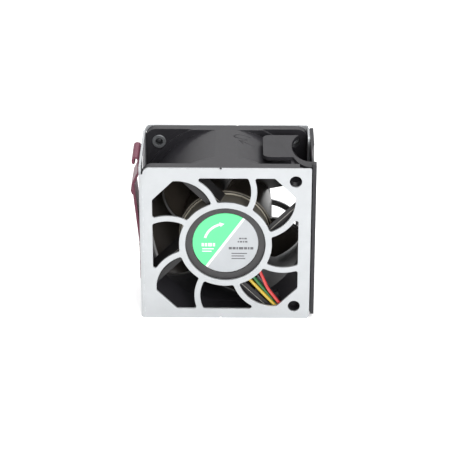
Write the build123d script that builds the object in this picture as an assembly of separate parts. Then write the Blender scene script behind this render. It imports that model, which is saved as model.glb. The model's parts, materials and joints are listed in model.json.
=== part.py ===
from build123d import *
import os
from math import cos, pi, radians, sin, sqrt, tan

# Server fan module: a square fan held in a folded steel guard, with a sprung latch on the left
# and a plastic carrier with the connector on the right. Units are millimetres.
# X runs to the right, Y to the rear, Z up. The base is the plane Z = 0, below the fan axis.

# Driving dimensions of the fan
fan_side = 60.0
fan_depth = 38.0
axis_height = fan_side / 2
flange_corner = 4.0
front_flange = 3.7
rear_flange = 3.5
barrel_radius = 30.25
bore_radius = 28.7
bore_mouth = 1.2
flare_rear = -8.5
flare_radius = 32.2
flare_half = 28.8
flare_back_front = -15.3
flare_back_rear = -9.9
flare_back_radius = 32.4
step_radius = 32.7
step_height = 0.8
hole_pitch = 50.0
hole_radius = 2.2
front_face = -fan_depth / 2
rear_face = fan_depth / 2

# Driving dimensions of the guard
sheet = 0.8
bend_inside = 0.6
edge_clear = 0.6
guard_right = 30.6
opening_half = 26.2
opening_cut = 43.8
centre_hole = 14.5
guard_ring = 16.7
spoke_inner = 13.2
spoke_outer = 15.3
spoke_centre = 21.2
spoke_lead = 40.9
front_spoke_start = 15.0
rear_spoke_start = -6.3
spoke_count = 8
corner_round = 0.8
return_margin = 1.0

# Driving dimensions of the motor
cup_radius = 16.0
cup_wall = 1.2
cup_front = -18.6
cup_rim = -11.4
label_radius = 11.85
recess_radius = 12.1
recess_depth = 0.4
strut_front = -18.2
tube_radius = 5.0
tube_bore = 4.0
tube_shoulder = 3.5
washer_depth = 0.6
shaft_radius = 1.5
bearing_width = 4.0
front_bearing = -15.9
rear_bearing = -1.0
inner_race_outside = 2.3
outer_race_inside = 3.2
ball_radius = 0.43
ball_circle = 2.75
ball_count = 7
seat_gap = 0.02

# Driving dimensions of the impeller
hub_radius = 17.0
hub_front = -10.6
hub_rear = 14.5
boss_radius = 4.5
yoke_front = -10.5
tip_radius = 28.1
blade_count = 5
blade_front = -10.3
blade_rear = 14.5
blade_tip_rear = 12.2
blade_thickness = 0.9
blade_camber = 1.55

# Driving dimensions of the latch
strip = 0.9
strip_width = 13.2
flex_height = 23.5
foot_bottom = 8.0

# Driving dimensions of the connector carrier
carrier_inner = 30.8
carrier_wall = 1.3
tab_top = 59.8
tab_thick = 1.4

# Driving dimensions of fasteners and leads
rivet_radius = 2.15
rivet_bore = 1.4
rivet_lip = 2.6
latch_rivet_radius = 1.5
latch_rivet_heights = (11.5, 19.0)
wire_radius = 0.6
wire_level = -16.1
notch_angle = -50.0
notch_behind = 4.4
lead_bend = 2.2

wall_outer = -(fan_side / 2 + sheet)


def facing(y):
    """Plane square to the fan axis, seen from the front, with its origin on the axis."""
    return Plane(origin=(0, y, axis_height), x_dir=(1, 0, 0), z_dir=(0, -1, 0))


def slab(sketch, y_front, y_rear):
    """Flat sketch, seen from the front, made into a solid between two depths."""
    return extrude(facing(y_rear) * sketch, amount=y_rear - y_front)


def disc(radius, y_front, y_rear):
    return slab(Circle(radius), y_front, y_rear)


def ring(outer, inner, y_front, y_rear):
    return slab(Circle(outer) - Circle(inner), y_front, y_rear)


def turned(points):
    """Solid of revolution about the fan axis, from (radius, y) points."""
    profile = make_face(Polyline(*[(r, y) for r, y in points], close=True))
    placed = Plane(origin=(0, 0, axis_height), x_dir=(1, 0, 0), z_dir=(0, 0, 1)) * profile
    return revolve(placed, axis=Axis((0, 0, axis_height), (0, 1, 0)))


def spun(shape, angle):
    """Shape turned about the fan axis, counterclockwise as seen from the front."""
    return shape.rotate(Axis((0, 0, axis_height), (0, -1, 0)), angle)


def around(angle, radius):
    return (radius * cos(radians(angle)), radius * sin(radians(angle)))


def block(low, high):
    size = [b - a for a, b in zip(low, high)]
    centre = [(a + b) / 2 for a, b in zip(low, high)]
    return Pos(*centre) * Box(*size)


def save(name, shape):
    export_step(shape, f"parts/{name}.step")


def group(solids):
    return Compound(children=list(solids))


# Guard

def guard_openings(start, lean):
    """The eight openings between the ring, the curved spokes and the cut square.

    The spokes leave the ring at the start angle, and curve counterclockwise for a lean of 1.
    """
    window = Rectangle(2 * opening_half, 2 * opening_half)
    window &= Rot(0, 0, 45) * Rectangle(opening_cut * sqrt(2), opening_cut * sqrt(2))
    window -= Circle(guard_ring)
    spoke = Pos(spoke_centre, 0) * (Circle(spoke_outer) - Circle(spoke_inner))
    spoke &= Pos(spoke_centre, -lean * 20) * Rectangle(40, 40)
    for k in range(spoke_count):
        window -= Rot(0, 0, start + lean * spoke_lead + k * 360 / spoke_count) * spoke
    return fillet(window.vertices(), corner_round)


def grille(y_front, left, right, top_rounds, notch_x, openings):
    """One flat grille: plate outline, openings, centre hole, and a small shear notch."""
    half = fan_side / 2
    plate = Pos((left + right) / 2, 0) * Rectangle(right - left, fan_side)
    for end, rounding in zip((0, -1), top_rounds):
        corner = plate.vertices().group_by(Axis.Y)[-1].sort_by(Axis.X)[end]
        plate = fillet(corner, rounding)
    lower_right = plate.vertices().sort_by(Axis.Y)[:2].sort_by(Axis.X)[-1]
    plate = chamfer(lower_right, 0.8)
    plate -= openings + Circle(centre_hole)
    for z in (half, -half):
        plate -= Pos(notch_x, z) * Rectangle(0.8, 0.9)
    return slab(plate, y_front, y_front + sheet)


def bend(y_flat, y_bent):
    """Quarter bend between the left wall and a grille, from the flat's outer face inwards."""
    centre_x = wall_outer + sheet + bend_inside
    toward = 1 if y_bent > y_flat else -1
    centre_y = y_flat + toward * (sheet + bend_inside)
    outer = sheet + bend_inside
    quarter = Pos(centre_x, centre_y) * (Circle(outer) - Circle(bend_inside))
    keep = Pos(centre_x - outer / 2, centre_y - toward * outer / 2) * Rectangle(outer, outer)
    return quarter & keep


def make_guard():
    flat_left = wall_outer + sheet + bend_inside
    front_openings = guard_openings(front_spoke_start, 1)
    front = grille(front_face - sheet, flat_left, guard_right, (2.2, 0.3), -1.7, front_openings)
    for z in (hole_pitch / 2, -hole_pitch / 2):
        front -= slab(Pos(hole_pitch / 2, z) * Circle(hole_radius), front_face - 1, front_face)
    rear_right = fan_side / 2 - bend_inside
    rear_openings = guard_openings(rear_spoke_start, -1)
    rear = grille(rear_face, flat_left, rear_right, (3.0, 3.0), 4.0, rear_openings)
    for z in (hole_pitch / 2, -hole_pitch / 2):
        rear -= slab(Pos(-hole_pitch / 2, z) * Circle(rivet_radius + 0.05), rear_face, rear_face + 1)

    bend_top = fan_side - 2.6
    bends = bend(front_face - sheet, rear_face) + bend(rear_face + sheet, front_face)
    wall_half = fan_depth / 2 - bend_inside
    wall = block((wall_outer, -wall_half, 0), (wall_outer + sheet, wall_half, fan_side))
    wall += extrude(bends, amount=bend_top)
    wall -= block((wall_outer - 1, -7.8, 47.0), (wall_outer + sheet + 1, 7.8, 58.8))
    for z in latch_rivet_heights:
        wall -= Pos(wall_outer, 0, z) * Rot(0, 90, 0) * Cylinder(latch_rivet_radius + 0.05, 4)

    # Return flange on the right, bent forward round the rear corner of the frame
    centre = Pos(rear_right, rear_face - bend_inside)
    outer = sheet + bend_inside
    corner = centre * (Circle(outer) - Circle(bend_inside))
    corner &= centre * Pos(outer / 2, outer / 2) * Rectangle(outer, outer)
    flap_front = 9.0
    flap_rear = rear_face - bend_inside
    flap_height = fan_side - 2 * return_margin
    flap = Pos((flap_front + flap_rear) / 2, axis_height) * Rectangle(flap_rear - flap_front, flap_height)
    flap = Plane.YZ.offset(fan_side / 2) * flap
    flap = fillet(flap.vertices().sort_by(Axis.Y)[:2], 3.0)
    returned = extrude(flap, amount=sheet) + extrude(Pos(0, 0, return_margin) * corner, amount=flap_height)
    return front, wall, rear, returned


# Fan frame

def strut(angle):
    """Slanted stator vane: a straight bar beside the radius, leaning clockwise as it goes back."""
    corners = [(6.1, strut_front), (8.1, strut_front), (10.6, cup_rim), (9.2, cup_rim)]
    across = Plane(origin=(0, 0, axis_height), x_dir=(0, 0, -1), z_dir=(1, 0, 0))
    bar = extrude(across * make_face(Polyline(*corners, close=True)), amount=0.7 * fan_side)
    return spun(bar, angle)


def air_passage():
    """Space inside the barrel: round, flared into the corners at the front, with a wide rear mouth."""
    ahead = front_face - 1
    slope = (flare_radius - bore_radius) / (flare_rear - front_face)
    round_bore = turned([(0, ahead), (bore_radius, ahead), (bore_radius, rear_face - bore_mouth),
                         (bore_radius + bore_mouth, rear_face), (bore_radius + bore_mouth, rear_face + 1),
                         (0, rear_face + 1)])
    flare = turned([(0, ahead), (flare_radius + slope, ahead), (bore_radius, flare_rear), (0, flare_rear)])
    return round_bore + (flare & slab(Rectangle(2 * flare_half, 2 * flare_half), ahead, flare_rear))


def make_frame():
    half = fan_side / 2
    square = RectangleRounded(fan_side, fan_side, flange_corner)
    for x in (-1, 1):
        for z in (-1, 1):
            square -= Pos(x * hole_pitch / 2, z * hole_pitch / 2) * Circle(hole_radius)
    frame = slab(square, front_face, front_face + front_flange)
    frame += slab(square, rear_face - rear_flange, rear_face)
    column = Rectangle(fan_side, fan_side)
    frame += slab(Circle(barrel_radius) & column, front_face, rear_face)
    step_front = rear_face - rear_flange - step_height
    frame += slab(Circle(step_radius) & column, step_front, rear_face - rear_flange)
    flare = turned([(0, flare_back_front), (flare_back_radius, flare_back_front),
                    (barrel_radius, flare_back_rear), (0, flare_back_rear)])
    frame += flare & slab(column, flare_back_front, flare_back_rear)
    frame -= air_passage()

    # Three upright edges clear the inside of the guard's bends
    edge = edge_clear * sqrt(2)
    for x, y in ((-half, front_face), (-half, rear_face), (half, rear_face)):
        frame -= Pos(x, y, axis_height) * Rot(0, 0, 45) * Box(edge, edge, fan_side + 2)

    # Notch for the leads at the lower right of the front flange, and relief under the carrier's arm
    notch = Rot(0, 0, notch_angle) * Pos(31.0, -1.72) * Rectangle(7.0, 3.66)
    frame -= slab(notch, front_face - 1, front_face + front_flange + notch_behind)
    frame -= block((26.4, -18.0, tab_top - tab_thick - 0.3), (half + 1, -15.0, fan_side + 1))
    return frame


def make_motor_base():
    """Cup open to the rear, with a boss for the bearing tube and a ledge for the board, on four struts."""
    cup = turned([(0, cup_front + recess_depth), (recess_radius, cup_front + recess_depth),
                   (recess_radius, cup_front), (cup_radius - 0.4, cup_front), (cup_radius, cup_front + 0.4),
                   (cup_radius, cup_rim), (cup_radius - cup_wall, cup_rim),
                   (cup_radius - cup_wall, board_front), (cup_radius - cup_wall - 0.9, board_front),
                   (cup_radius - cup_wall - 0.9, cup_floor), (tube_radius + 1.3, cup_floor),
                   (tube_radius + 1.3, cup_floor + 4), (tube_radius + seat_gap, cup_floor + 4),
                   (tube_radius + seat_gap, cup_floor), (0, cup_floor)])
    struts = strut(45)
    for angle in (135, 225, 315):
        struts += strut(angle)
    base = cup + ((struts & air_passage()) - disc(cup_radius - 0.5, strut_front - 1, cup_rim + 1))

    # Slot in the cup's side for the leads
    slot = Circle(cup_radius + 0.6) - Circle(cup_radius - cup_wall - 1.0)
    slot &= Rot(0, 0, -52) * Pos(20, 0) * Rectangle(40, 2 * 20 * sin(radians(15)))
    return base - slab(slot, cup_floor - 0.5, board_front)


# Motor

cup_floor = -17.0
board_front = -15.3
board_thick = 1.0
core_front = -8.0
core_rear = 1.0
core_radius = 12.2
tooth_half = 1.8
magnet_inner = 13.2
magnet_outer = 15.2
yoke_outer = 16.2


def make_board():
    """Round circuit board with a hole for the boss, four solder pads and small chips on its rear face."""
    rear = board_front + board_thick
    board = slab(Circle(cup_radius - cup_wall - 0.3) - Circle(tube_radius + 1.6), board_front, rear)
    for x, z in lead_pads:
        board += slab(Pos(x, z) * Rectangle(1.4, 1.4), wire_level + wire_radius, board_front)
    for angle in (20, 110, 200):
        board += spun(slab(Pos(10.6, 0) * Rectangle(2.2, 3.4), rear, rear + 1.0), angle)
    return board


def make_bearing_tube():
    rear_end = rear_bearing + bearing_width
    front_seat = front_bearing + bearing_width
    rear_seat = rear_bearing - washer_depth
    return turned([(tube_bore, cup_floor), (tube_radius, cup_floor), (tube_radius, rear_end),
                   (tube_bore, rear_end), (tube_bore, rear_seat), (tube_shoulder, rear_seat),
                   (tube_shoulder, front_seat), (tube_bore, front_seat)])


def bearing_starts():
    return (front_bearing, rear_bearing)


def races(inner, outer):
    """One race in each bearing."""
    return group(ring(outer, inner, y, y + bearing_width) for y in bearing_starts())


def make_balls():
    balls = []
    for y in bearing_starts():
        for k in range(ball_count):
            x, z = around(k * 360 / ball_count, ball_circle)
            balls.append(Pos(x, y + bearing_width / 2, axis_height + z) * Sphere(ball_radius))
    return group(balls)


def make_preload_washer():
    """Coned spring washer between the tube's shoulder and the rear bearing."""
    start = rear_bearing - washer_depth
    return turned([(3.6, start), (3.85, start), (3.85, start + 0.25), (3.3, start + washer_depth),
                   (3.3, start + washer_depth - 0.25)])


def make_core():
    core = Circle(tube_radius + 2.0) - Circle(tube_radius + seat_gap)
    shoes = Circle(core_radius) - Circle(core_radius - 1.5)
    for angle in range(0, 360, 90):
        core += Rot(0, 0, angle) * Pos(8.2, 0) * Rectangle(6.4, 2 * tooth_half)
        shoes -= Rot(0, 0, angle + 45) * Pos(10, 0) * Rectangle(20, 3.0)
    return slab(core + shoes, core_front, core_rear)


def make_insulator():
    """End caps of the stator, one at each end of the core."""
    cap = Circle(tube_radius + 1.8) - Circle(tube_radius + 0.1)
    rims = Circle(core_radius - 0.2) - Circle(core_radius - 1.2)
    for angle in range(0, 360, 90):
        cap += Rot(0, 0, angle) * Pos(8.2, 0) * Rectangle(6.4, 2 * tooth_half)
        rims -= Rot(0, 0, angle + 45) * Pos(10, 0) * Rectangle(20, 4.0)
    cap += rims
    return group([slab(cap, core_front - 0.7, core_front), slab(cap, core_rear, core_rear + 0.7)])


def make_coils():
    coils = []
    for angle in range(0, 360, 90):
        outside = Rectangle(core_rear - core_front + 4.6, 7.0)
        outside = fillet(outside.vertices(), 1.4)
        inside = Rectangle(core_rear - core_front + 1.5, 2 * tooth_half + 0.1)
        middle = (core_front + core_rear) / 2
        across = Plane(origin=(7.2, middle, axis_height), x_dir=(0, 1, 0), z_dir=(1, 0, 0))
        coils.append(spun(extrude(across * (outside - inside), amount=2.7), angle))
    return group(coils)


# Rotor

def blade_angle(radius, along):
    """Angle of the blade's middle surface, seen from the front, from its front edge to its rear edge.

    The blade is almost axial at the front, and turns clockwise faster and faster toward the rear.
    """
    height = radius - hub_radius
    front_edge = 19.0 - 1.0 * height - 0.065 * height ** 2
    wrap = 67.0 - 0.3 * height - 0.088 * height ** 2
    return front_edge - wrap * along ** blade_camber


def make_blade():
    """Thin swept blade: a smooth surface through rows of points, thickened, and trimmed at the tip."""
    rows = []
    row_count = 5
    point_count = 5
    overrun = 1.1
    for i in range(row_count):
        radius = hub_radius - overrun + i * (tip_radius - hub_radius + 2 * overrun) / (row_count - 1)
        row = []
        for j in range(point_count):
            along = j / (point_count - 1)
            x, z = around(blade_angle(radius, along), radius)
            y = blade_front + (blade_rear - 0.6 - blade_front) * along
            row.append(Vector(x, y, axis_height + z))
        rows.append(row)
    surface = Face.make_surface_from_array_of_points(rows)
    blade = thicken(surface, amount=blade_thickness / 2, both=True)
    root = hub_radius - 0.6
    return blade & turned([(root, blade_front - 0.2), (tip_radius, blade_front - 0.2),
                           (tip_radius, blade_tip_rear), (tip_radius - 1.8, blade_rear),
                           (root, blade_rear)])


def make_impeller():
    inner = yoke_outer + seat_gap
    back = hub_rear - 1.5
    shaft_hole = shaft_radius + seat_gap
    boss_front = rear_bearing + bearing_width
    hub = turned([(inner, hub_front), (hub_radius - 0.3, hub_front), (hub_radius, hub_front + 0.3),
                  (hub_radius, hub_rear - 1.0), (hub_radius - 1.0, hub_rear), (shaft_hole, hub_rear),
                  (shaft_hole, boss_front), (2.2, boss_front), (2.2, 8.5), (boss_radius, 8.5),
                  (boss_radius, back), (inner, back)])
    blade = make_blade()
    for k in range(blade_count):
        hub += spun(blade, k * 360 / blade_count)
    return hub


def make_yoke():
    back = hub_rear - 1.5
    inside = magnet_outer + seat_gap
    hole = boss_radius + seat_gap
    return turned([(inside, yoke_front), (yoke_outer, yoke_front), (yoke_outer, back), (hole, back),
                   (hole, back - 1.0), (inside, back - 1.0)])


def make_shaft():
    ring_front = front_bearing - 0.4
    end = ring_front - 0.3
    return turned([(0, end), (shaft_radius - 0.2, end), (shaft_radius, end + 0.2),
                   (shaft_radius, ring_front), (1.2, ring_front), (1.2, front_bearing),
                   (shaft_radius, front_bearing),
                   (shaft_radius, hub_rear - 0.3), (0, hub_rear - 0.3)])


def make_retaining_ring():
    clip = Circle(2.4) - Circle(1.2 + seat_gap) - Pos(2, 0) * Rectangle(4, 1.6)
    return slab(clip, front_bearing - 0.4, front_bearing)


# Leads from the board to the connector

lead_pads = [(5.7, -12.5), (7.5, -11.35), (8.8, -10.2), (10.5, -7.7)]
entry_x = 24.0
lead_pitch = 2.0
first_entry = -12.4

# Each lead: points (x, y, height above the axis) that it passes on its way
lead_routes = {
    "wire_yellow": [(5.7, wire_level, -12.5), (19.25, -17.9, -27.0),
                    (19.25, first_entry + 2 * lead_pitch, -27.0)],
    "wire_green": [(7.5, wire_level, -11.35), (18.4, -16.5, -25.6),
                   (18.4, first_entry + 3 * lead_pitch, -25.6)],
    "wire_black": [(8.8, wire_level, -10.2), (19.7, -16.5, -24.6),
                   (19.7, first_entry + lead_pitch, -24.6)],
    "wire_red": [(10.5, wire_level, -7.7), (15.4, -17.75, -18.8), (20.8, -17.9, -26.3),
                 (20.8, first_entry, -26.3)],
}


def make_lead(route):
    """Round lead along straight runs joined by tangent arcs, ending at its contact."""
    points = [Vector(x, y, axis_height + z) for x, y, z in route]
    points.append(Vector(entry_x, points[-1].Y, points[-1].Z))
    radii = []
    for before, at, after in zip(points, points[1:], points[2:]):
        run = min((at - before).length, (after - at).length)
        turn = (at - before).get_angle(after - at)
        radii.append(min(0.45 * run / tan(radians(turn / 2)), lead_bend if turn > 45 else 12.0))
    path = FilletPolyline(*points, radius=radii)
    section = Plane(origin=points[0], z_dir=points[1] - points[0]) * Circle(wire_radius)
    lead = sweep(section, path=path)
    print("lead", "radii", [round(r, 2) for r in radii], "length", round(path.length, 1),
          "volume ratio", round(lead.volume / (pi * wire_radius ** 2 * path.length), 4))
    return lead


# Connector

housing_low = (23.0, -14.2, 0.3)
housing_high = (28.6, -4.4, 7.2)
socket_x = 25.6


def entry_heights():
    """Depth and height at which each lead reaches the connector."""
    return [(route[-1][1], axis_height + route[-1][2]) for route in lead_routes.values()]


def make_housing():
    housing = block(housing_low, housing_high)
    housing = chamfer(housing.edges().filter_by(Axis.Z), 0.4)
    key = block((housing_high[0] - 0.9, -11.0, -1), (housing_high[0] + 1, -7.6, 3.0))
    housing -= key
    for y, z in entry_heights():
        chamber = block((entry_x - 0.02, y - 0.85, 0.9), (socket_x + 0.9, y + 0.85, 6.4))
        mouth = block((socket_x - 0.5, y - 0.5, -1), (socket_x + 0.5, y + 0.5, 1))
        entry = Cylinder(wire_radius + 0.05, 2 * (entry_x - housing_low[0]) + 0.1)
        housing -= chamber + mouth + Pos(housing_low[0], y, z) * Rot(0, 90, 0) * entry
    return housing


def make_contacts():
    """Four folded box contacts, each with a flat tab that its lead is fixed to."""
    contacts = []
    for y, z in entry_heights():
        box = block((socket_x - 0.85, y - 0.8, 1.0), (socket_x + 0.85, y + 0.8, 6.3))
        box -= block((socket_x - 0.5, y - 0.5, 0.5), (socket_x + 0.5, y + 0.5, 5.9))
        tab = block((entry_x, y - 0.6, z - 0.8), (socket_x - 0.85, y + 0.6, z + 0.8))
        contacts.append(box + tab)
    return group(contacts)


def make_carrier():
    outer = carrier_inner + carrier_wall
    # Side plate, with a shallow finger scoop near the top of its outer face
    plate = block((carrier_inner, -16.5, 1.0), (outer, 18.6, fan_side))
    plate = fillet(plate.edges().filter_by(Axis.X).group_by(Axis.Y)[-1], 2.0)
    scoop_radius = 41.0
    scoop = Pos(outer - 1.0 + scoop_radius, -7.0, fan_side) * Rot(0, -3.0, 0) * Cylinder(scoop_radius, 40)
    plate -= scoop

    # Front rib that covers the edge of the front grille, with a rounded ear above it
    rib = Plane.YZ.offset(31.0) * Pos(-17.6, 31.35) * RectangleRounded(4.0, 60.3, 1.2)
    carrier = plate + extrude(rib, amount=1.3)

    # Top tab and the arm that carries it, round the finger opening
    opening = Pos(30.7, 0.3) * Ellipse(6.9, 13.2)
    tab = Pos(22.1, 0.9) * Rectangle(17.4, 19.6)
    tab = fillet(tab.vertices().sort_by(Axis.X)[:2], 2.6)
    arm = Pos(30.7, 0.3) * Ellipse(7.6, 18.0) & Pos(26.7, -13.3) * Rectangle(9.0, 9.4)
    top = (tab + arm) - opening
    top -= Pos(31.2, 10.7) * Rectangle(9.0, 12.0)
    top = extrude(Pos(0, 0, tab_top - tab_thick) * top, amount=tab_thick)
    carrier += top
    carrier += block((23.4, -12.2, 57.0), (25.6, -8.9, tab_top - tab_thick + 0.2))

    # Pocket round the connector
    x0, y0, z0 = housing_low
    x1, y1, z1 = housing_high
    carrier += block((x1, y0 - 1.0, z0), (carrier_inner, y1 + 1.0, z1 + 0.2))
    for y in (y0 - 1.0, y1):
        carrier += block((x0 + 0.2, y, z0), (x1, y + 1.0, z1 + 0.2))

    # Pads on the front flange, and pegs in the guard's return flange
    for z in (11, 30, 49):
        carrier += block((fan_side / 2, -18.6, z - 5), (carrier_inner, -15.6, z + 5))
    for z in peg_heights:
        carrier += Pos((fan_side / 2 + carrier_inner) / 2, peg_y, z) * Rot(0, 90, 0) * Cylinder(1.2, sheet)
    return carrier


peg_heights = (15.0, 45.0)
peg_y = 13.0


# Rivets and latch

def make_frame_rivets():
    """Tubular rivets through the rear flange and the rear grille, on the left."""
    rivets = []
    start = rear_face - rear_flange
    end = rear_face + sheet
    for z in (-1, 1):
        shape = turned([(rivet_bore, start - 0.4), (rivet_lip - 0.2, start - 0.4), (rivet_lip, start - 0.2),
                        (rivet_lip, start), (rivet_radius, start), (rivet_radius, end), (rivet_lip, end),
                        (rivet_lip, end + 0.15), (rivet_lip - 0.2, end + 0.3), (rivet_bore, end + 0.3)])
        rivets.append(Pos(-hole_pitch / 2, 0, z * hole_pitch / 2) * shape)
    return group(rivets)


def make_latch_rivets():
    inner_x = wall_outer + sheet
    outer_x = wall_outer - strip
    base_down = (Align.CENTER, Align.CENTER, Align.MIN)
    rivets = []
    for z in latch_rivet_heights:
        shank = Rot(0, 90, 0) * Cylinder(latch_rivet_radius, inner_x - outer_x)
        head = Rot(0, -90, 0) * Cone(2.5, 1.9, 0.5, align=base_down)
        tail = Rot(0, 90, 0) * Cone(2.2, 1.9, 0.4, align=base_down)
        rivets.append(Pos((inner_x + outer_x) / 2, 0, z) * shank + Pos(outer_x, 0, z) * head
                      + Pos(inner_x, 0, z) * tail)
    return group(rivets)


def make_latch_foot():
    foot = block((wall_outer - strip, -strip_width / 2, foot_bottom),
                 (wall_outer, strip_width / 2, flex_height))
    foot = fillet(foot.edges().filter_by(Axis.X).group_by(Axis.Z)[0], 2.5)
    for z in latch_rivet_heights:
        foot -= Pos(wall_outer, 0, z) * Rot(0, 90, 0) * Cylinder(latch_rivet_radius + 0.05, 4)
    return foot


def make_latch_arm():
    """Bent strip: arm leaning away from the wall, facet back in, grip rolled outwards, and a tooth."""
    centre = wall_outer - strip / 2
    points = [(centre, flex_height - 3), (centre, flex_height), (-33.7, 47.7), (-31.45, 52.6),
              (-31.45, 58.13), (-33.51, 58.13), (-33.51, 56.3), (-33.1, 55.7)]
    radii = [4.0, 1.2, 1.2, 1.0, 1.0, 0.6]
    path = FilletPolyline(*[(x, 0, z) for x, z in points], radius=radii)
    section = Plane(origin=path @ 0, x_dir=(1, 0, 0), z_dir=(0, 0, 1)) * Rectangle(strip, strip_width)
    arm = sweep(section, path=path)
    arm -= block((centre - 5, -strip_width, 0), (centre + 5, strip_width, flex_height))
    tooth = make_face(Polyline((-33.4, 45.6), (-34.0, 45.5), (-34.55, 45.1), (-34.1, 43.6), (-33.3, 43.4),
                               close=True))
    lengthwise = Plane(origin=(0, strip_width / 2, 0), x_dir=(1, 0, 0), z_dir=(0, -1, 0))
    return arm + extrude(lengthwise * tooth, amount=strip_width)


def make_label():
    return disc(label_radius, cup_front + recess_depth - 0.2, cup_front + recess_depth)


os.makedirs("parts", exist_ok=True)
front_guard, side_wall, rear_guard, guard_return = make_guard()
for z in peg_heights:
    guard_return -= Pos(fan_side / 2, peg_y, z) * Rot(0, 90, 0) * Cylinder(1.25, 4)
save("front_guard", front_guard)
save("side_wall", side_wall)
save("rear_guard", rear_guard)
save("guard_return", guard_return)
save("fan_frame", make_frame())
save("motor_base", make_motor_base())
save("frame_rivets", make_frame_rivets())
save("label", make_label())
save("circuit_board", make_board())
save("bearing_tube", make_bearing_tube())
save("bearing_outer_races", races(outer_race_inside, tube_bore - seat_gap))
save("bearing_inner_races", races(shaft_radius + seat_gap, inner_race_outside))
save("bearing_balls", make_balls())
save("preload_washer", make_preload_washer())
save("stator_core", make_core())
save("stator_insulator", make_insulator())
save("stator_coils", make_coils())
save("impeller", make_impeller())
save("rotor_yoke", make_yoke())
save("magnet_ring", ring(magnet_outer, magnet_inner, -8.5, 2.0))
save("shaft", make_shaft())
save("retaining_ring", make_retaining_ring())
for name, route in lead_routes.items():
    save(name, make_lead(route))
save("connector_housing", make_housing())
save("connector_contacts", make_contacts())
save("connector_carrier", make_carrier())
save("latch_foot", make_latch_foot())
save("latch_rivets", make_latch_rivets())
save("latch_arm", make_latch_arm())
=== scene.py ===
import json
from math import cos, pi, radians, sin
import bmesh
import bpy
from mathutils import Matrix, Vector


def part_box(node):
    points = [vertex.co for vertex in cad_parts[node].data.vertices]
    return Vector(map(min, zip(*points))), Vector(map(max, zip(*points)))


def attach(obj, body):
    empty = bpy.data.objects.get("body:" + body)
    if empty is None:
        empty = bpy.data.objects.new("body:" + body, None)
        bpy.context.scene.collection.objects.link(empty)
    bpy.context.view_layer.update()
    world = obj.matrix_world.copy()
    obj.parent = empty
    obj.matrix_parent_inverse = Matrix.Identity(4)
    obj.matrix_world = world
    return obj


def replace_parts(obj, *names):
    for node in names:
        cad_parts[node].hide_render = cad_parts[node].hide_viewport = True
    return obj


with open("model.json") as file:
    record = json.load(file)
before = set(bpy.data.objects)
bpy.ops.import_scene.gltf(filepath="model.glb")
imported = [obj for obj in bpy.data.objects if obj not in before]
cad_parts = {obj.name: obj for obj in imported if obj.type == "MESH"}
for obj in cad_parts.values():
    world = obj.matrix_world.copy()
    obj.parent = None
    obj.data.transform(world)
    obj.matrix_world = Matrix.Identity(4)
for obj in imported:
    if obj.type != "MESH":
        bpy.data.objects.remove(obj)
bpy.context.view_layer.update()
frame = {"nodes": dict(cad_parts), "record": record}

nodes = frame["nodes"]
mm = 0.001

# Places taken from the frame
axis_z = (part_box("fan_frame")[0].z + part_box("fan_frame")[1].z) / 2
label_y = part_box("label")[0].y

# Camera at the photograph's viewing angle
camera_target = Vector((-0.384 * mm, 0, 28.142 * mm))
camera_azimuth = radians(0.712)
camera_elevation = radians(26.183)
camera_distance = 711.78 * mm
camera_lens = 154.05


# Shader nodes

def link(tree, source, target):
    tree.links.new(source, target)


def add(tree, kind, **values):
    """Shader node of a kind, with its named inputs set."""
    node = tree.nodes.new("ShaderNode" + kind)
    for name, value in values.items():
        node.inputs[name.replace("_", " ")].default_value = value
    return node


def object_coordinates(tree):
    return tree.nodes.new("ShaderNodeTexCoord").outputs["Object"]


def noise_field(tree, coordinates, size, detail=3.0, stretch=(1, 1, 1)):
    """Noise whose features have the given size, in millimetres; stretch makes them longer along an axis."""
    mapping = add(tree, "Mapping", Scale=[1 / (size * mm * s) for s in stretch])
    link(tree, coordinates, mapping.inputs["Vector"])
    noise = add(tree, "TexNoise", Scale=1.0, Detail=detail, Roughness=0.55)
    link(tree, mapping.outputs["Vector"], noise.inputs["Vector"])
    return noise.outputs["Fac"]


def mapped(tree, field, start, end, low=0.0, high=1.0):
    """Field mapped from one range to another, and held at its ends."""
    node = add(tree, "MapRange", From_Min=start, From_Max=end, To_Min=low, To_Max=high)
    link(tree, field, node.inputs["Value"])
    return node.outputs["Result"]


def product(tree, first, second):
    node = tree.nodes.new("ShaderNodeMath")
    node.operation = "MULTIPLY"
    link(tree, first, node.inputs[0])
    link(tree, second, node.inputs[1])
    return node.outputs["Value"]


def dot(tree, first, second):
    """Dot product of a vector with another one, or with three numbers."""
    node = tree.nodes.new("ShaderNodeVectorMath")
    node.operation = "DOT_PRODUCT"
    link(tree, first, node.inputs[0])
    if isinstance(second, bpy.types.NodeSocket):
        link(tree, second, node.inputs[1])
    else:
        node.inputs[1].default_value = second
    return node.outputs["Value"]


def blend_colours(tree, factor, first, second):
    mix = tree.nodes.new("ShaderNodeMix")
    mix.data_type = "RGBA"
    link(tree, factor, mix.inputs["Factor"])
    for value, socket in ((first, mix.inputs["A"]), (second, mix.inputs["B"])):
        if isinstance(value, bpy.types.NodeSocket):
            link(tree, value, socket)
        else:
            socket.default_value = (*value, 1)
    return mix.outputs["Result"]


def edge_mask(tree, radius):
    """One along outside edges that wear, and zero on flat faces; with the normal softened at the edges."""
    bevel = add(tree, "Bevel", Radius=radius * mm)
    bevel.samples = 4
    flat = tree.nodes.new("ShaderNodeNewGeometry")
    turned = dot(tree, bevel.outputs["Normal"], flat.outputs["Normal"])
    return mapped(tree, turned, 0.995, 0.90), bevel.outputs["Normal"]


def add_bump(tree, height, depth, normal=None):
    """Bump of the surface from a height field, with its depth in millimetres."""
    bump = add(tree, "Bump", Strength=1.0, Distance=depth * mm)
    link(tree, height, bump.inputs["Height"])
    if normal:
        link(tree, normal, bump.inputs["Normal"])
    link(tree, bump.outputs["Normal"], tree.nodes["Principled BSDF"].inputs["Normal"])


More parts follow.
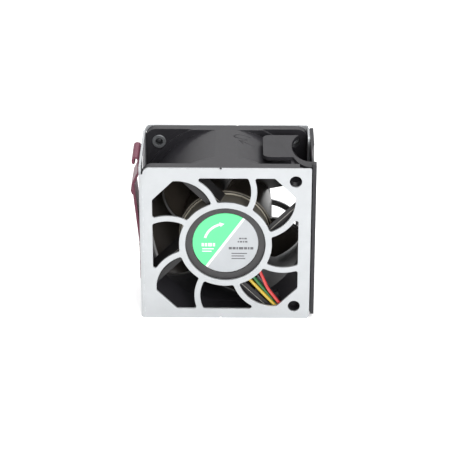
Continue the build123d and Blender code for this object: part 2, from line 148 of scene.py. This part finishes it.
def axis_fields(tree):
    """Distance from the fan axis and depth along it, in millimetres."""
    coordinates = object_coordinates(tree)
    flatten = tree.nodes.new("ShaderNodeVectorMath")
    flatten.operation = "MULTIPLY_ADD"
    link(tree, coordinates, flatten.inputs[0])
    flatten.inputs[1].default_value = (1 / mm, 0, 1 / mm)
    flatten.inputs[2].default_value = (0, 0, -axis_z / mm)
    length = tree.nodes.new("ShaderNodeVectorMath")
    length.operation = "LENGTH"
    link(tree, flatten.outputs["Vector"], length.inputs[0])
    return {"radius": length.outputs["Value"], "depth": dot(tree, coordinates, (0, 1 / mm, 0))}


# Materials

def shade(colour, amount):
    return tuple(min(1.0, c * amount) for c in colour)


def finish(name, colour, roughness, metallic=0.0, coat=0.0, grain=0.08, grain_depth=0.01,
           stretch=(1, 1, 1), variation=0.10, rounding=0.18, wear=None, specular=0.5):
    """Surface with broad colour variation, fine grain, softened edges and, if given, a wear colour there."""
    material = bpy.data.materials.new(name)
    material.use_nodes = True
    tree = material.node_tree
    surface = tree.nodes["Principled BSDF"]
    surface.inputs["Metallic"].default_value = metallic
    surface.inputs["Coat Weight"].default_value = coat
    surface.inputs["Specular IOR Level"].default_value = specular
    coordinates = object_coordinates(tree)
    broad = mapped(tree, noise_field(tree, coordinates, 6.0), 0.3, 0.7)
    fine = noise_field(tree, coordinates, grain, 2.0, stretch)
    tint = blend_colours(tree, broad, shade(colour, 1 - variation), shade(colour, 1 + variation))
    edges, softened = edge_mask(tree, rounding)
    if wear:
        patchy = mapped(tree, noise_field(tree, coordinates, 1.6), 0.42, 0.62)
        tint = blend_colours(tree, product(tree, edges, patchy), tint, wear)
    link(tree, tint, surface.inputs["Base Color"])
    link(tree, mapped(tree, fine, 0.3, 0.7, roughness * 0.85, roughness * 1.15), surface.inputs["Roughness"])
    add_bump(tree, fine, grain_depth, softened)
    return material


def tint_zone(material, colour, *limits):
    """Blend a colour over a zone about the fan axis.

    Each limit is a field, the millimetres where it leaves the colour out, and those where it lets it in.
    """
    tree = material.node_tree
    base = tree.nodes["Principled BSDF"].inputs["Base Color"]
    fields = axis_fields(tree)
    masks = [mapped(tree, fields[field], start, end) for field, start, end in limits]
    amount = masks[0]
    for mask in masks[1:]:
        amount = product(tree, amount, mask)
    link(tree, blend_colours(tree, amount, base.links[0].from_socket, colour), base)


def label_foil():
    """Round foil label: mint and silver halves of a straight slanting split, with a white rule between."""
    mint, silver, white = (0.12, 0.76, 0.31), (0.47, 0.49, 0.51), (0.86, 0.87, 0.87)
    slant, split_offset, rule_width, softness = radians(35), 0.6, 0.9, 0.04
    material = finish("label_foil", silver, 0.34, coat=0.3, variation=0.03, grain=0.3, grain_depth=0.002)
    tree = material.node_tree
    base = tree.nodes["Principled BSDF"].inputs["Base Color"]
    across = dot(tree, object_coordinates(tree), (-cos(slant) / mm, 0, sin(slant) / mm))
    split = axis_z / mm * sin(slant) + split_offset
    colour = base.links[0].from_socket
    for edge, tone in ((split - rule_width, white), (split, mint)):
        colour = blend_colours(tree, mapped(tree, across, edge - softness, edge + softness), colour, tone)
    link(tree, colour, base)
    return material


def winding():
    """Enamelled wire: fine parallel turns as bump and tone."""
    material = finish("enamelled_copper", (0.62, 0.25, 0.09), 0.28, metallic=0.9, coat=0.4, variation=0.18)
    tree = material.node_tree
    wave = add(tree, "TexWave", Scale=0.9 / mm, Distortion=0.4, Detail=1.0)
    wave.bands_direction = "X"
    link(tree, object_coordinates(tree), wave.inputs["Vector"])
    add_bump(tree, wave.outputs["Fac"], 0.08)
    return material


def make_materials():
    """One procedural material for each material slot of the record."""
    made = {
        "zinc_steel": finish(
            "zinc_steel", (0.525, 0.542, 0.556), 0.42, metallic=0.45, grain=0.5, grain_depth=0.003,
            stretch=(6, 1, 1), variation=0.03, rounding=0.15, wear=(0.86, 0.87, 0.88)),
        "bright_steel": finish(
            "bright_steel", (0.74, 0.73, 0.70), 0.24, metallic=1.0, grain=0.4, grain_depth=0.004,
            variation=0.06),
        "black_plastic": finish(
            "black_plastic", (0.023, 0.022, 0.026), 0.40, grain=0.12, specular=0.40, grain_depth=0.012,
            wear=(0.10, 0.098, 0.105), rounding=0.22),
        "impeller_plastic": finish(
            "impeller_plastic", (0.040, 0.033, 0.027), 0.34, grain=0.3, grain_depth=0.004,
            wear=(0.12, 0.11, 0.09)),
        "carrier_plastic": finish(
            "carrier_plastic", (0.028, 0.027, 0.031), 0.48, grain=0.14, specular=0.3, grain_depth=0.010,
            wear=(0.11, 0.108, 0.115)),
        "connector_plastic": finish("connector_plastic", (0.030, 0.030, 0.031), 0.45, grain=0.12),
        "label_paper": label_foil(),
        "circuit_board": finish(
            "circuit_board", (0.02, 0.12, 0.05), 0.38, coat=0.3, grain=0.25, variation=0.2),
        "brass": finish("brass", (0.72, 0.52, 0.22), 0.25, metallic=1.0, grain=0.2, grain_depth=0.003),
        "bearing_steel": finish(
            "bearing_steel", (0.66, 0.66, 0.67), 0.14, metallic=1.0, grain=0.2, grain_depth=0.002,
            rounding=0.08),
        "core_steel": finish(
            "core_steel", (0.30, 0.30, 0.31), 0.42, metallic=1.0, grain=0.35, grain_depth=0.02,
            stretch=(20, 1, 20)),
        "insulator_plastic": finish("insulator_plastic", (0.66, 0.63, 0.53), 0.5, grain=0.2),
        "enamelled_copper": winding(),
        "magnet": finish("magnet", (0.07, 0.066, 0.062), 0.55, grain=0.1, grain_depth=0.02),
        "tinned_contact": finish(
            "tinned_contact", (0.74, 0.72, 0.67), 0.25, metallic=1.0, grain=0.3, grain_depth=0.003,
            rounding=0.08),
        "maroon_strip": finish(
            "maroon_strip", (0.190, 0.050, 0.083), 0.42, coat=0.05, grain=0.25, specular=0.3,
            grain_depth=0.008, variation=0.06, wear=(0.34, 0.17, 0.20)),
    }
    insulation = {"wire_yellow": (0.66, 0.47, 0.05), "wire_green": (0.020, 0.17, 0.045),
                  "wire_black": (0.028, 0.026, 0.028), "wire_red": (0.62, 0.050, 0.050)}
    for slot, colour in insulation.items():
        made[slot] = finish(slot, colour, 0.30, coat=0.7, grain=0.4, grain_depth=0.006, variation=0.08)
    return made


def make_special_materials():
    """Finishes of single nodes whose look differs from the rest of their slot."""
    return {
        "motor_base": finish(
            "motor_base_plastic", (0.052, 0.050, 0.052), 0.46, grain=0.12, grain_depth=0.010,
            specular=0.4, wear=(0.22, 0.21, 0.19), rounding=0.20),
        "frame_rivets": finish(
            "rivet_steel", (0.24, 0.25, 0.26), 0.45, metallic=0.7, grain=0.3, grain_depth=0.004),
        # Steel of the yoke, made paler and more diffuse than the other steel so that its rim shows bright inside
        # the shaded hub: partly painted highlight
        "rotor_yoke": finish(
            "yoke_steel_painted_highlight", (0.93, 0.86, 0.70), 0.34, metallic=0.35, grain=0.4, grain_depth=0.003,
            variation=0.10, rounding=0.12),
    }


materials = make_materials()
special = make_special_materials()

# Painted light and shade about the fan axis: painted shade on the front edges of the blades and on the vanes, a
# painted highlight on the hub's front rim, and painted light on the side of the motor's cup
# Painted shade: the blades near-black at their front, out past the hub
tint_zone(materials["impeller_plastic"], (0.010, 0.009, 0.008), ("radius", 17.2, 17.5), ("depth", -9.9, -10.15))
# Painted highlight: a pale line on the hub's front rim
tint_zone(materials["impeller_plastic"], (0.24, 0.22, 0.18), ("radius", 16.62, 16.70),
          ("radius", 17.12, 17.04), ("depth", -10.2, -10.3))
# Painted shade: the vanes darkened out past the motor's cup
tint_zone(special["motor_base"], (0.020, 0.019, 0.020), ("radius", 16.1, 16.6))
# Painted light: the side of the motor's cup lightened to a lit brown
tint_zone(special["motor_base"], (0.17, 0.155, 0.13), ("radius", 15.75, 15.9), ("radius", 16.25, 16.1),
          ("depth", -18.5, -18.3))

for part in frame["record"]["subparts"]:
    shown = nodes[part["node"]]
    shown.data.materials.clear()
    shown.data.materials.append(special.get(part["node"], materials[part["material_slot"]]))


# Meshes

def to_mesh(name, shape):
    mesh = bpy.data.meshes.new(name)
    shape.to_mesh(mesh)
    shape.free()
    return mesh


def lofted(name, *lofts):
    """Mesh of closed skins, each run from ring to ring of corners; a ring of one corner is a point."""
    shape = bmesh.new()
    for rings in lofts:
        made = [[shape.verts.new(corner) for corner in ring] for ring in rings]
        sides = max(len(ring) for ring in made)
        for first, second in zip(made, made[1:]):
            for k in range(sides):
                corners = (first[k % len(first)], first[(k + 1) % len(first)],
                           second[(k + 1) % len(second)], second[k % len(second)])
                shape.faces.new(list(dict.fromkeys(corners)))
        for end in (made[0], list(reversed(made[-1]))):
            if len(end) > 2:
                shape.faces.new(end)
    bmesh.ops.recalc_face_normals(shape, faces=shape.faces[:])
    return to_mesh(name, shape)


def flat_plates(name, outlines, y_rear, y_front):
    """Mesh of flat plates square to the fan axis, from outlines of (x, height above the axis)."""
    return lofted(name, *[[[(x, y, axis_z + z) for x, z in outline] for y in (y_rear, y_front)]
                          for outline in outlines])


def piece(name, mesh, material):
    """Object for a finished mesh, riding on the module."""
    made = bpy.data.objects.new(name, mesh)
    bpy.context.scene.collection.objects.link(made)
    mesh.materials.append(material)
    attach(made, "module")
    return made


# Print on the label

def print_film(name, outlines, colour):
    """Ink on the label, as one thin raised film."""
    ink = finish(name, colour, 0.4, variation=0.05, rounding=0.02)
    mesh = flat_plates(name, outlines, label_y - 0.002 * mm, label_y - 0.03 * mm)
    return piece(name, mesh, ink)


def bar(x, z, length, height):
    """Outline of a plain printed bar from its lower left corner, in millimetres."""
    return [(x * mm, z * mm), ((x + length) * mm, z * mm),
            ((x + length) * mm, (z + height) * mm), (x * mm, (z + height) * mm)]


def bar_rows(x, z, lengths, pitch, height):
    """Rows of plain bars, from the top row down."""
    return [bar(x, z - pitch * row, length, height) for row, length in enumerate(lengths)]


def broken_row(x, z, lengths, gap, height):
    """One row of short bars with gaps."""
    return [bar(x + sum(lengths[:k]) + gap * k, z, length, height) for k, length in enumerate(lengths)]


def arc_arrow(radius, width, start, end, head):
    """Outline of a curved arrow about the label's centre, that runs clockwise; angles in degrees."""
    steps = 16
    angles = [radians(start + (end - start) * k / steps) for k in range(steps + 1)]
    tip = angles[-1]
    polar = ([(radius + width / 2, a) for a in angles]
             + [(radius + width, tip), (radius, tip - radians(head)), (radius - width, tip)]
             + [(radius - width / 2, a) for a in reversed(angles)])
    return [(r * mm * cos(a), r * mm * sin(a)) for r, a in polar]


light_ink = (0.90, 0.92, 0.91)
print_film("label_bars", (
    bar_rows(2.2, -4.4, (5.6, 4.6, 5.0), 1.05, 0.38)
    + broken_row(1.2, -2.6, (1.1, 1.1, 0.6, 1.6, 1.1, 0.6, 1.1), 0.28, 0.95)
    + broken_row(4.4, 0.2, (0.5, 0.9, 0.5, 0.9), 0.25, 0.6)
    + broken_row(4.9, 1.5, (0.9, 0.5, 0.9), 0.25, 0.6)), (0.13, 0.13, 0.14))
print_film("label_light_bars", (
    broken_row(-8.6, -1.4, (0.8, 0.8, 1.4, 0.8), 0.35, 1.3)
    + bar_rows(-8.4, -2.6, (4.2, 3.4), 1.0, 0.40)), light_ink)
print_film("label_arrow", [arc_arrow(7.6, 0.9, 165, 105, 12)], light_ink)


# Raised moulding lines on the frame

def raised_strip(name, points, width, height, normal_at):
    """Thin raised line through points on a surface, with the surface's outward normal at each."""
    rings = []
    for k, point in enumerate(points):
        ahead = points[min(k + 1, len(points) - 1)] - points[max(k - 1, 0)]
        up = normal_at(point).normalized()
        side = ahead.cross(up).normalized() * (width / 2)
        rings.append((point - side - up * height, point - side * 0.7 + up * height,
                      point + side * 0.7 + up * height, point + side - up * height))
    return piece(name, lofted(name, rings), materials["black_plastic"])


def flange_arc(radius, start, end):
    """Points along an arc about the fan axis, on the front face of the rear flange."""
    steps, flange_y = 24, 15.5 * mm
    angles = [radians(start + (end - start) * k / steps) for k in range(steps + 1)]
    return [Vector((radius * mm * cos(a), flange_y, axis_z + radius * mm * sin(a))) for a in angles]


def on_barrel(outline):
    """Points on the top of the barrel from (x, y) pairs in millimetres."""
    barrel_radius = 30.25
    return [Vector((x * mm, y * mm, axis_z + (barrel_radius ** 2 - x ** 2) ** 0.5 * mm)) for x, y in outline]


def flange_normal(point):
    return Vector((0, -1, 0))


def barrel_normal(point):
    return Vector((point.x, 0, point.z - axis_z))


for name, arc in (("mould_line_long", (34.4, 118, 149.5)), ("mould_line_corner", (38.3, 133, 139))):
    raised_strip(name, flange_arc(*arc), 0.10 * mm, 0.04 * mm, flange_normal)
barrel_marks = {
    "mould_arrow_stem": [(10.2, 3.2), (8.6, 3.9), (7.0, 4.6), (5.2, 5.4)],
    "mould_arrow_head": [(6.4, 3.1), (4.7, 5.6), (7.6, 6.6)],
    "mould_turn_arrow": [(6.0 + 3.2 * cos(radians(a)), 9.2 + 1.7 * sin(radians(a))) for a in range(30, 301, 15)],
}
for name, outline in barrel_marks.items():
    raised_strip(name, on_barrel(outline), 0.35 * mm, 0.09 * mm, barrel_normal)


# Fasteners, grommet and vanes

def rivet_core(name, height):
    """Broken-off pin inside a tubular rivet: a turned plug with a domed front end."""
    profile = [(0.0, 16.1), (0.55, 16.2), (1.05, 16.5), (1.38, 17.0), (1.38, 19.2), (1.0, 19.4), (0.0, 19.4)]
    rivet_x, steps = -25, 24
    rings = []
    for radius, y in profile:
        angles = [2 * pi * k / steps for k in range(steps if radius else 1)]
        rings.append([((rivet_x + radius * cos(a)) * mm, y * mm, axis_z + (height + radius * sin(a)) * mm)
                      for a in angles])
    mesh = lofted(name, rings)
    mesh.shade_smooth()
    return piece(name, mesh, pin_steel)


def make_grommet():
    """Rubber block that fills the notch round the leads, behind the front flange."""
    turn = radians(-50)
    along, aside = Vector((cos(turn), 0, sin(turn))), Vector((-sin(turn), 0, cos(turn)))
    inner, outer, low, high, edge = 29.6, 34.2, -3.5, 0.1, 0.3
    rings = []
    for y, inset in ((-13.7, edge), (-13.4, 0.0), (-12.6, 0.0), (-12.3, edge)):
        corners = ((inner + inset, low + inset), (outer - inset, low + inset),
                   (outer - inset, high - inset), (inner + inset, high - inset))
        rings.append([Vector((0, y * mm, axis_z)) + along * r * mm + aside * t * mm for r, t in corners])
    return piece("lead_grommet", lofted("lead_grommet", rings), materials["connector_plastic"])


def flare_at(y):
    """Radius just inside the wall of the bore's flared front, in millimetres."""
    front, rear, front_radius, rear_radius = -19.0, -8.5, 32.3, 28.8
    return front_radius + (rear_radius - front_radius) * (y - front) / (rear - front)


def vane_profile(name, angle, profile, material):
    """Wedge along a vane of the motor base: (offset clockwise, y) corners run from the cup to the bore."""
    turn, cup_radius = radians(angle), 15.8
    along, aside = Vector((cos(turn), 0, sin(turn))), Vector((sin(turn), 0, -cos(turn)))
    rings = []
    for reach in (lambda y: cup_radius, flare_at):
        rings.append([Vector((0, y * mm, axis_z)) + aside * off * mm
                      + along * (reach(y) ** 2 - off ** 2) ** 0.5 * mm for off, y in profile])
    return piece(name, lofted(name, rings), material)


pin_steel = finish("pin_steel", (0.07, 0.072, 0.078), 0.5, metallic=0.6, grain=0.3, grain_depth=0.01)
rivet_core("rivet_core_upper", 25)
rivet_core("rivet_core_lower", -25)
make_grommet()
# Painted highlight: a pale strip along the front edge of each vane, standing for its lit edge line
vane_sheen = finish("vane_edge_painted_highlight", (0.42, 0.40, 0.36), 0.35, grain=0.2, rounding=0.03)
vane_web = [(8.0, -18.1), (10.0, -17.8), (11.4, -11.5), (10.3, -11.5)]
for angle, offset, y in ((45, 7.6, -18.2), (135, 9.9, -17.8), (225, 9.9, -17.8), (315, 7.6, -18.2)):
    vane_profile(f"vane_web_{angle}", angle, vane_web, special["motor_base"])
    vane_highlight_line = [(offset - 0.06, y - 0.05), (offset + 0.06, y - 0.05),
                 (offset + 0.08, y + 0.12), (offset - 0.08, y + 0.12)]
    vane_profile(f"vane_highlight_line_{angle}", angle, vane_highlight_line, vane_sheen)


# Corners of the guard

def trimmed(name, node, place, normal):
    """Piece that stands for a CAD node, with everything beyond a plane cut off and the cut closed."""
    shape = bmesh.new()
    shape.from_mesh(nodes[node].data)
    shape.transform(nodes[node].matrix_world)
    bmesh.ops.remove_doubles(shape, verts=shape.verts[:], dist=0.001 * mm)
    geometry = shape.verts[:] + shape.edges[:] + shape.faces[:]
    cut = bmesh.ops.bisect_plane(shape, geom=geometry, dist=0.0001 * mm, plane_co=place, plane_no=normal,
                                 clear_outer=True)
    rim = [part for part in cut["geom_cut"] if isinstance(part, bmesh.types.BMEdge)]
    bmesh.ops.triangle_fill(shape, use_beauty=True, edges=rim)
    bmesh.ops.recalc_face_normals(shape, faces=shape.faces[:])
    mesh = to_mesh(name, shape)
    if "custom_normal" in mesh.attributes:
        mesh.attributes.remove(mesh.attributes["custom_normal"])
    mesh.set_sharp_from_angle(angle=radians(25))
    made = piece(name, mesh, materials["zinc_steel"])
    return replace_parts(made, node)


def corner_plate(name, side, reach, rounding, foot):
    """Fills a top corner of the rear guard out to the bend: heights and reaches in millimetres from the axis."""
    half, guard_half, guard_round = 30, 29.4, 3.0
    arc = [(reach - rounding * (1 - cos(radians(a))), half - rounding * (1 - sin(radians(a))))
           for a in range(90, -1, -15)]
    plate_edge = [(guard_half - guard_round * (1 - cos(radians(a))), half - guard_round * (1 - sin(radians(a))))
                  for a in range(0, 91, 10)]
    outline = arc + [(reach, foot), (guard_half, foot)] + plate_edge
    placed = [(side * x * mm, z * mm) for x, z in outline]
    mesh = flat_plates(name, [placed], 19.8 * mm, 19.0 * mm)
    return piece(name, mesh, materials["zinc_steel"])


trimmed("side_wall_trimmed", "side_wall", (0, 14.4 * mm, axis_z + 30 * mm), (0, 2.6, 4.0))
corner_plate("rear_corner_left", -1, 30.5, 2.4, 27.4)
corner_plate("rear_corner_right", 1, 30.3, 0.5, 29.0)


# Stage

def area_light(name, place, size, power):
    """Soft light that faces the middle of the fan."""
    data = bpy.data.lights.new(name, "AREA")
    data.shape = "RECTANGLE"
    data.size, data.size_y = size
    data.energy = power
    lamp = bpy.data.objects.new(name, data)
    lamp.location = place
    lamp.rotation_mode = "QUATERNION"
    lamp.rotation_quaternion = (Vector((0, 0, axis_z)) - Vector(place)).to_track_quat("-Z", "Y")
    bpy.context.scene.collection.objects.link(lamp)


def make_floor():
    half = 6.0
    mesh = bpy.data.meshes.new("floor")
    corners = [(-half, -half, 0), (half, -half, 0), (half, half, 0), (-half, half, 0)]
    mesh.from_pydata(corners, [], [(0, 1, 2, 3)])
    floor = bpy.data.objects.new("floor", mesh)
    bpy.context.scene.collection.objects.link(floor)
    mesh.materials.append(finish("floor_paper", (0.90, 0.90, 0.90), 0.9, variation=0.004, grain=4.0,
                                 grain_depth=0.01, specular=0.1))
    glow = mesh.materials[0].node_tree.nodes["Principled BSDF"]
    glow.inputs["Emission Color"].default_value = (1, 1, 1, 1)
    glow.inputs["Emission Strength"].default_value = 0.45


def make_camera():
    back = Vector((sin(camera_azimuth) * cos(camera_elevation), -cos(camera_azimuth) * cos(camera_elevation),
                   sin(camera_elevation)))
    data = bpy.data.cameras.new("camera")
    data.lens = camera_lens
    data.sensor_width = 36
    data.clip_start, data.clip_end = 0.01, 20
    camera = bpy.data.objects.new("camera", data)
    camera.location = camera_target + back * camera_distance
    camera.rotation_mode = "QUATERNION"
    camera.rotation_quaternion = (-back).to_track_quat("-Z", "Y")
    bpy.context.scene.collection.objects.link(camera)
    bpy.context.scene.camera = camera


def make_world():
    world = bpy.data.worlds.new("studio")
    world.use_nodes = True
    sky = world.node_tree.nodes["Background"]
    sky.inputs["Color"].default_value = (1, 1, 1, 1)
    sky.inputs["Strength"].default_value = 0.30
    bpy.context.scene.world = world


make_floor()
make_camera()
make_world()
for light in (("key", (0.30, -0.55, 0.75), (0.5, 0.5), 2.5),
              ("front", (0.28, -0.80, 0.36), (0.35, 0.35), 3.2),
              ("fill", (-0.6, -0.7, 0.35), (0.6, 0.6), 0.8),
              ("top", (0.12, 0.25, 0.9), (0.8, 0.8), 7.0),
              ("back", (-0.10, 1.10, 0.62), (1.30, 0.36), 2.1)):
    area_light(*light)
bpy.context.scene.view_settings.view_transform = "Standard"
